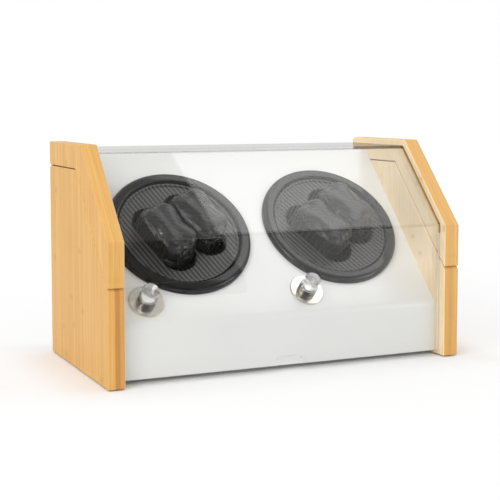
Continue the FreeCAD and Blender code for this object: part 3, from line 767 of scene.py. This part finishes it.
@dataclass
class Cushion:
    """Stuffed leatherette cushion in a pocket of a turntable."""

    side: Side
    seat: Seat
    seed: int
    enlarge: float = 8.0
    start_share: float = 0.93
    voxel: float = 0.0022
    pressure: float = 4.0
    spare_cloth: float = 0.09
    frames: int = 20
    most_move: float = 0.0032
    pocket_half_width: float = 0.0166
    pocket_top: float = 0.0165
    widest: float = 0.0178
    half_height: float = 0.02025
    crown_share: float = 0.97
    middle_swell: float = 0.13
    shoulder: float = 0.30
    fold_height: float = 0.0003
    crease_height: float = 0.00068
    crease_slope: float = 3.2
    crown_crease: float = 0.12
    flank_crease: float = 0.88
    seed_step: float = 0.9
    fold_pitch: Place = (80.0, 24.0, 60.0)
    crease_pitch: Place = (210.0, 34.0, 190.0)
    warp: float = 0.004
    warp_pitch: float = 45.0

    @property
    def node(self) -> str:
        """The CAD node that the cushion stands for."""
        return f"{self.side.value}_{self.seat.value}_cushion"

    def frame_matrix(self) -> Matrix:
        """Place of the cushion's own axes, with its long axis along Y and its top along Z.

        Returns:
            The matrix from those axes to the box's frame.
        """
        out = Vector(joint_row(f"{self.side.value}_table_spin")["axis"]).normalized()
        names = [f"{self.side.value}_{seat.value}_cushion" for seat in Seat]
        across = (centre_of(names[1]) - centre_of(names[0])).normalized()
        along = out.cross(across)
        turned = Matrix((across, along, out)).transposed().to_4x4()
        return Matrix.Translation(centre_of(self.node)) @ turned

    def build(self, material: bpy.types.Material) -> bpy.types.Object:
        """Make the cushion from its CAD solid.

        Args:
            material: the leatherette.

        Returns:
            The finished piece.
        """
        place = self.frame_matrix()
        mesh = frame["nodes"][self.node].data.copy()
        mesh.transform(place.inverted())
        mesh.transform(Matrix.Scale(self.enlarge * self.start_share, 4))
        work = add_object("cushion_work", mesh)
        self.remesh(work)
        self.stuff(work)
        self.refine(work)
        self.crease(work.data)
        self.fit(work.data)
        work.data.transform(place)
        done = work.data
        bpy.data.objects.remove(work)
        done.shade_smooth()
        piece = new_piece(self.node + "_cover", done, self.node, material, [self.node])
        smooth = piece.modifiers.new("Round", "SUBSURF")
        smooth.levels = 1
        smooth.render_levels = 1
        return piece

    def remesh(self, work: bpy.types.Object) -> None:
        """Cover the solid with even faces.

        Args:
            work: the enlarged solid.
        """
        for other in bpy.context.selected_objects:
            other.select_set(False)
        bpy.context.view_layer.objects.active = work
        work.select_set(True)
        work.data.remesh_voxel_size = self.voxel * self.enlarge
        bpy.ops.object.voxel_remesh()

    def stuff(self, work: bpy.types.Object) -> None:
        """Blow the cover up with spare cloth in it, and keep each point near where it was.

        Args:
            work: the enlarged cover.
        """
        start = [point.co.copy() for point in work.data.vertices]
        cloth = work.modifiers.new("Stuffing", "CLOTH")
        cloth.settings.use_pressure = True
        cloth.settings.uniform_pressure_force = self.pressure
        cloth.settings.shrink_min = -self.spare_cloth
        cloth.settings.effector_weights.gravity = 0.0
        scene = bpy.context.scene
        for step in range(1, self.frames + 1):
            scene.frame_set(step)
        seen = work.evaluated_get(bpy.context.evaluated_depsgraph_get())
        blown = [point.co.copy() for point in seen.data.vertices]
        work.modifiers.remove(cloth)
        scene.frame_set(1)
        most = self.most_move * self.enlarge
        for point, old, new in zip(work.data.vertices, start, blown):
            move = new - old
            if move.length > most:
                move = move.normalized() * most
            point.co = old + move

    def refine(self, work: bpy.types.Object) -> None:
        """Divide the cover once, so that it can hold fine creases.

        Args:
            work: the enlarged cover.
        """
        finer = work.modifiers.new("Finer", "SUBSURF")
        finer.levels = 1
        finer.render_levels = 1
        seen = work.evaluated_get(bpy.context.evaluated_depsgraph_get())
        mesh = bpy.data.meshes.new_from_object(seen)
        work.modifiers.remove(finer)
        work.data = mesh

    def crease(self, mesh: bpy.types.Mesh) -> None:
        """Bring the cover to its real size, square its shoulders, then work folds and long creases into it.

        Args:
            mesh: the enlarged cover's mesh.
        """
        mesh.transform(Matrix.Scale(1.0 / self.enlarge, 4))
        half_length = max(abs(point.co.y) for point in mesh.vertices)
        half_width = max(abs(point.co.x) for point in mesh.vertices)
        half_height = max(abs(point.co.z) for point in mesh.vertices)
        for point in mesh.vertices:
            wide = abs(point.co.x) / half_width
            tall = max(point.co.z, 0.0) / half_height
            far = abs(point.co.y) / half_length
            corner = (wide ** 4 + tall ** 4) ** 0.25
            push = (wide * wide + tall * tall) ** 0.5 / max(corner, 0.01) - 1.0
            grow = 1.0 + self.shoulder * push
            point.co.x *= grow * (1.0 + self.middle_swell * (1.0 - far * far))
            if point.co.z > 0.0:
                point.co.z *= grow
        crown = self.half_height * self.crown_share / max(point.co.z for point in mesh.vertices)
        for point in mesh.vertices:
            if point.co.z > 0.0:
                point.co.z *= crown
        mesh.update()
        normals = [point.normal.copy() for point in mesh.vertices]
        for point, normal in zip(mesh.vertices, normals):
            far = abs(point.co.y) / half_length
            side = 1.0 - abs(normal.z) ** 3
            spot = point.co + Vector((0.0, 0.0, self.seed_step * self.seed))
            soft = noise.noise(spot * Vector(self.fold_pitch))
            warp = self.warp * noise.noise(spot * self.warp_pitch)
            wavy = (spot.x + warp, spot.y, spot.z + warp)
            thin = noise.noise(Vector([part * pitch for part, pitch in zip(wavy, self.crease_pitch)]))
            ridge = 1.0 - self.crease_slope * abs(thin)
            share = self.crown_crease + self.flank_crease * side
            height = self.fold_height * soft * (0.5 + far) + self.crease_height * ridge * share
            point.co += normal * height

    def fit(self, mesh: bpy.types.Mesh) -> None:
        """Keep the cover inside its pocket, off its neighbour and within its own solid's height.

        Args:
            mesh: the cover's mesh, in the cushion's own axes.
        """
        for point in mesh.vertices:
            x, y, z = point.co
            z = max(-self.half_height, min(self.half_height, z))
            most = self.pocket_half_width if z < self.pocket_top - self.half_height else self.widest
            point.co = (max(-most, min(most, x)), y, z)


@dataclass
class Turntable:
    """Woven dish and two cushions of one side."""

    side: Side
    seed: int
    cover_dark: Colour = colour(0.006, 0.006, 0.006)
    cover_light: Colour = colour(0.034, 0.034, 0.033)

    def named(self, *ends: str) -> list[str]:
        """Node names of this side."""
        return [f"{self.side.value}_{end}" for end in ends]

    def build(self) -> None:
        """Finish the dish and make the cushions."""
        row = joint_row(f"{self.side.value}_table_spin")
        out = Vector(row["axis"]).normalized()
        lower, upper = self.named("lower_cushion", "upper_cushion")
        across = (centre_of(upper) - centre_of(lower)).normalized()
        along = out.cross(across)
        first = tuple((across + along).normalized())
        second = tuple((across - along).normalized())
        centre = tuple(row["pos_m"])
        dress(self.named("turntable"), CarbonWeave(f"{self.side.value}_dish_weave", centre, first, second))
        # The leatherette takes the same weave, with its painted sheen and painted tow highlights.
        cover = CarbonWeave(f"{self.side.value}_leatherette", centre, tuple(across), tuple(along),
                            dark=self.cover_dark, light=self.cover_light, rough=0.3, relief=0.00005,
                            crease=1.0, coat=0.17)
        leather = cover.material()
        for number, seat in enumerate(Seat):
            Cushion(self.side, seat, self.seed + number).build(leather)


@dataclass
class Drive:
    """Gears, motors, frames and electrics behind the panel."""

    def dress(self) -> None:
        """Finish the nodes behind the panel."""
        both = [side.value for side in Side]
        steel = ["spindle", "spindle_clip", "drive_motor", "motor_shaft", "knob_shaft"]
        dress([f"{side}_{end}" for side in both for end in steel],
              Metal("motor_steel", base=colour(0.5, 0.5, 0.5), shade=colour(0.4, 0.4, 0.4), rough=0.35))
        dress([f"{side}_{end}" for side in both for end in ("table_gear", "motor_pinion")],
              Moulded("gear_acetal", base=colour(0.74, 0.72, 0.66), worn=colour(0.66, 0.64, 0.58),
                      rough=0.42))
        dress([f"{side}_{end}" for side in both for end in ("drive_frame", "mode_switch")],
              Moulded("black_frame", base=colour(0.022, 0.022, 0.024), worn=colour(0.035, 0.035, 0.036)))
        dress([f"{side}_spindle_bush" for side in both],
              Metal("turned_brass", base=colour(0.75, 0.55, 0.22), shade=colour(0.62, 0.43, 0.15),
                    rough=0.28))
        dress(["control_board"], CircuitBoard("solder_mask"))
        dress(["board_standoffs"], Moulded("white_nylon", base=colour(0.7, 0.7, 0.66),
                                           worn=colour(0.62, 0.62, 0.58)))
        dress(["power_socket"], Moulded("inlet_black", base=colour(0.018, 0.018, 0.018),
                                        worn=colour(0.03, 0.03, 0.03)))
        dress(["wiring"], Moulded("wire_sleeve", base=colour(0.03, 0.03, 0.03),
                                  worn=colour(0.05, 0.05, 0.05)))
        dress([f"{side}_table_bezel" for side in both],
              Lacquer("gloss_black_ring", base=colour(0.008, 0.008, 0.008), cloud=colour(0.012, 0.012, 0.012),
                      rough=0.06, rough_spread=0.02, peel=0.0000005, shine=0.4))


@dataclass
class Knob:
    """Polished plate and collar with a cut clear cap."""

    side: Side
    facets: int = 12
    cap_height: float = 0.0112
    cap_slack: float = 0.0005
    foot_share: float = 0.94
    crown_slope: float = 0.0014
    edge_round: float = 0.0002

    def dress(self) -> None:
        """Finish the knob's nodes."""
        name = self.side.value
        dress([f"{name}_knob_plate"], Metal(f"{name}_plate_chrome", base=colour(0.72, 0.675, 0.59),
                                            shade=colour(0.65, 0.605, 0.53), rough=0.22, rough_spread=0.08))
        # The collar's chrome is painted much darker than the plate's: a painted dark reflection of the
        # surroundings.
        dress([f"{name}_knob_collar"], Metal(f"{name}_collar_chrome_dark_reflection", base=colour(0.44, 0.43, 0.41),
                                             shade=colour(0.36, 0.35, 0.34), rough=0.08, rough_spread=0.04))
        dress([f"{name}_knob_rings"], Moulded(f"{name}_dark_ring", base=colour(0.006, 0.006, 0.006),
                                              worn=colour(0.012, 0.012, 0.012), rough=0.35, shine=0.15))

    def build(self) -> None:
        """Cut the clear cap with flats round its side and a sloped rim round its top."""
        name = self.side.value
        node = f"{name}_knob_cap"
        row = joint_row(f"{name}_knob_turn")
        out = Vector(row["axis"]).normalized()
        origin = Vector(row["pos_m"])
        offsets = [point.co - origin for point in frame["nodes"][node].data.vertices]
        heights = [offset.dot(out) for offset in offsets]
        radius = max((offset - out * height).length for offset, height in zip(offsets, heights))
        top = max(heights)
        low = max(height for height in heights if height < top - self.cap_height + self.cap_slack)
        shape = bmesh.new()
        bmesh.ops.create_cone(shape, cap_ends=True, segments=self.facets, radius1=radius * self.foot_share,
                              radius2=radius, depth=top - low)
        crown = [edge for edge in shape.edges if all(corner.co.z > 0 for corner in edge.verts)]
        bmesh.ops.bevel(shape, geom=crown, offset=self.crown_slope, affect="EDGES", segments=1, profile=0.5,
                        material=-1)
        bmesh.ops.bevel(shape, geom=list(shape.edges), offset=self.edge_round, affect="EDGES", segments=1,
                        profile=0.5, material=-1)
        turned = out.to_track_quat("Z", "Y").to_matrix().to_4x4()
        bmesh.ops.transform(shape, matrix=Matrix.Translation(origin + out * (top + low) / 2) @ turned,
                            verts=shape.verts)
        mesh = mesh_from(shape, f"{node}_cut")
        clear = Crystal(f"{name}_clear_cap").material()
        new_piece(f"{node}_cut", mesh, f"{name}_knob", clear, [node])


@dataclass
class Studio:
    """Pale floor, soft lamps, white surroundings and the camera."""

    floor_reach: float = 4.0
    floor_tone: Colour = colour(0.90, 0.90, 0.90)
    under_share: float = 0.04
    near_share: float = 0.62
    near_reach: float = 0.06
    far_reach: float = 0.6
    glow: float = 1.02
    ambient: float = 0.80
    key_place: Place = (0.858, -0.107, 1.5)
    key_size: tuple[float, float] = (0.8, 1.0)
    key_turn: float = 32.9
    key_power: float = 2.8
    key_gleam: float = 2.6
    fill_place: Place = (-1.5, -1.65, 1.0)
    fill_size: tuple[float, float] = (1.4, 1.2)
    fill_power: float = 18.5
    side_strip_place: Place = (-0.75, -0.35, 1.0)
    side_strip_size: tuple[float, float] = (0.4, 0.04)
    side_strip_power: float = 1.8
    flag_middle: Place = (0.278, -0.188, 1.0)
    flag_edge: Place = (0.543, -0.84, 0.0)
    flag_half: float = 0.6
    flag_reach: float = 0.9
    flag_tone: float = 0.45
    front_flag: tuple[Place, ...] = ((-0.5, -0.6, 0.002), (0.191, -0.6, 0.002), (-0.042, -0.6, 0.35),
                                     (-0.5, -0.6, 0.35))
    front_flag_tone: float = 0.06
    low_flag: tuple[Place, ...] = ((-0.5, -0.6, 0.0015), (0.191, -0.6, 0.0015), (0.14, -0.48, 0.0015),
                                   (-0.5, -0.48, 0.0015))
    gleam_card: tuple[Place, ...] = ((0.3, -0.6, 0.002), (1.2, -0.6, 0.002), (1.2, -0.6, 0.3),
                                     (0.3, -0.6, 0.3))
    floor_card: tuple[Place, ...] = ((0.3, -0.6, 0.0015), (1.2, -0.6, 0.0015), (1.2, -0.16, 0.0015),
                                     (0.3, -0.16, 0.0015))
    fade_across: tuple[float, float] = (0.33, 0.58)
    fade_along: tuple[float, float] = (0.16, 0.5)
    gleam_tone: float = 4.2
    high_flag: tuple[Place, ...] = ((-0.7, -1.0, 0.36), (1.0, -1.0, 0.36), (1.0, -1.0, 1.2),
                                    (-0.7, -1.0, 1.2))
    high_flag_tone: float = 0.4
    lens: float = 85.988
    shift: float = -0.1
    camera_place: Place = (-0.4617, -1.0125, 0.2372)
    camera_tilt: float = -4.718
    camera_turn: float = -24.41
    sensor: float = 36.0
    aim_height: float = 0.1
    gleam_drop: float = 0.01

    def build(self) -> None:
        """Make the studio round the object."""
        self.floor()
        self.surroundings()
        self.lamp("key_softbox", self.key_place, self.key_size, self.key_power,
                  Matrix.Rotation(radians(self.key_turn), 4, "Z"))
        self.lamp("fill_softbox", self.fill_place, self.fill_size, self.fill_power,
                  self.aimed(self.fill_place))
        self.lamp("side_strip", self.side_strip_place, self.side_strip_size, self.side_strip_power,
                  self.aimed(self.side_strip_place))
        cards = (
            ("key_gleam", self.key_corners(), self.key_gleam, False),
            ("flag_low", self.low_flag, self.front_flag_tone, False),
            ("front_gleam", self.gleam_card, self.gleam_tone, True),
            ("floor_gleam", self.floor_card, self.gleam_tone, True),
            ("flag_high", self.high_flag, self.high_flag_tone, False),
            ("flag_above", self.above_corners(), self.flag_tone, False),
            ("flag_front", self.front_flag, self.front_flag_tone, False),
        )
        for name, corners, tone, fades in cards:
            self.flag(name, corners, tone, fades)
        self.camera()

    def key_corners(self) -> tuple[Vector, ...]:
        """Corners of the card just below the key lamp."""
        turn = Matrix.Translation(self.key_place) @ Matrix.Rotation(radians(self.key_turn), 4, "Z")
        half = Vector((self.key_size[0] / 2, self.key_size[1] / 2, 0.0))
        signs = ((-1, -1), (1, -1), (1, 1), (-1, 1))
        return tuple(turn @ Vector((half.x * a, half.y * b, -self.gleam_drop)) for a, b in signs)

    def above_corners(self) -> tuple[Vector, ...]:
        """Corners of the dim card above the object."""
        edge = Vector(self.flag_edge) * self.flag_half
        aside = Vector((self.flag_edge[1], -self.flag_edge[0], 0.0)) * self.flag_reach
        middle = Vector(self.flag_middle)
        return (middle - edge, middle + edge, middle + edge + aside, middle - edge + aside)

    def aimed(self, place: Place) -> Matrix:
        """Matrix that turns a lamp towards the object."""
        aim = Vector((0.0, 0.0, self.aim_height)) - Vector(place)
        return aim.to_track_quat("-Z", "Y").to_matrix().to_4x4()

    def floor(self) -> None:
        """Lay the floor that keeps the object's shadow."""
        shape = bmesh.new()
        bmesh.ops.create_grid(shape, x_segments=1, y_segments=1, size=self.floor_reach)
        mesh = mesh_from(shape, "studio_floor")
        floor = add_object("studio_floor", mesh)
        material, shader = blank_material("studio_floor")
        seen = shader.node("ShaderNodeLightPath", output="Is Camera Ray")
        paper = shader.principled(Base_Color=self.floor_tone, Roughness=0.9, Specular_IOR_Level=0.0)
        glow = shader.node("ShaderNodeEmission", None, {"Color": colour(1, 1, 1), "Strength": self.glow})
        x, y, _ = shader.split(shader.position())
        away = (abs(x) - cad_box[1][0]).maths("MAXIMUM", abs(y) - cad_box[1][1])
        near = away.step(0.0, self.near_reach) * (self.near_share - self.under_share)
        share = self.under_share + near + away.step(self.near_reach, self.far_reach) * (1.0 - self.near_share)
        shader.finish(shader.blend(seen * share, paper, glow))
        mesh.materials.append(material)

    def flag(self, name: str, corners: tuple[Any, ...], tone: float, fades: bool) -> None:
        """Stand a card that only reflections show, to darken or brighten part of the cover.

        Args:
            name: the card's name.
            corners: its corners in order.
            tone: its brightness.
            fades: whether it fades towards the left and towards the object.
        """
        shape = bmesh.new()
        shape.faces.new([shape.verts.new(corner) for corner in corners])
        mesh = mesh_from(shape, name)
        card = add_object(name, mesh)
        material, shader = blank_material(name)
        strength: Any = tone
        if fades:
            x, y, _ = shader.split(shader.position())
            shown = x.step(*self.fade_across) * (y * -1).step(*self.fade_along)
            strength = 1.0 + shown * (tone - 1.0)
        inputs = {"Color": colour(1, 1, 1), "Strength": strength}
        shader.finish(shader.node("ShaderNodeEmission", None, inputs))
        mesh.materials.append(material)
        card.visible_camera = False
        card.visible_diffuse = False
        card.visible_shadow = False
        card.visible_transmission = False

    def surroundings(self) -> None:
        """Surround the object with white that lights it evenly."""
        world = bpy.data.worlds.new("studio_white")
        bpy.context.scene.world = world
        world.use_nodes = True
        shader = Shader(world.node_tree)
        path = shader.node("ShaderNodeLightPath")
        shown = path.out("Is Camera Ray") + path.out("Is Glossy Ray") + path.out("Is Transmission Ray")
        dim = shader.node("ShaderNodeBackground", None, {"Color": colour(1, 1, 1), "Strength": self.ambient})
        white = shader.node("ShaderNodeBackground", None, {"Color": colour(1, 1, 1), "Strength": 1.0})
        mixed = shader.blend(shown.maths("MINIMUM", 1.0), dim, white)
        shader.node("ShaderNodeOutputWorld", None, {"Surface": mixed})

    def lamp(self, name: str, place: Place, size: tuple[float, float], power: float, turn: Matrix) -> None:
        """Hang a softbox.

        Args:
            name: the lamp's name.
            place: where it hangs.
            size: its two sides.
            power: its power in watts.
            turn: the matrix that turns it.
        """
        data = bpy.data.lights.new(name, "AREA")
        data.shape = "RECTANGLE"
        data.size, data.size_y = size
        data.energy = power
        lamp = add_object(name, data)
        lamp.matrix_world = Matrix.Translation(place) @ turn

    def camera(self) -> None:
        """Set up the camera at the photograph's viewing angle."""
        data = bpy.data.cameras.new("front_camera")
        data.sensor_width = self.sensor
        data.lens = self.lens
        data.shift_y = self.shift
        camera = add_object("front_camera", data)
        camera.location = self.camera_place
        camera.rotation_euler = (radians(90.0 + self.camera_tilt), 0.0, radians(self.camera_turn))
        bpy.context.scene.camera = camera


def main() -> None:
    """Build and dress the box."""
    logging.basicConfig(level=logging.INFO, format="%(message)s")
    bpy.context.scene.view_settings.view_transform = "Standard"
    Case().dress()
    Lid().dress()
    Drive().dress()
    for number, side in enumerate(Side):
        Turntable(side, 10 * number).build()
        knob = Knob(side)
        knob.dress()
        knob.build()
    Studio().build()


if __name__ == "__main__":
    main()
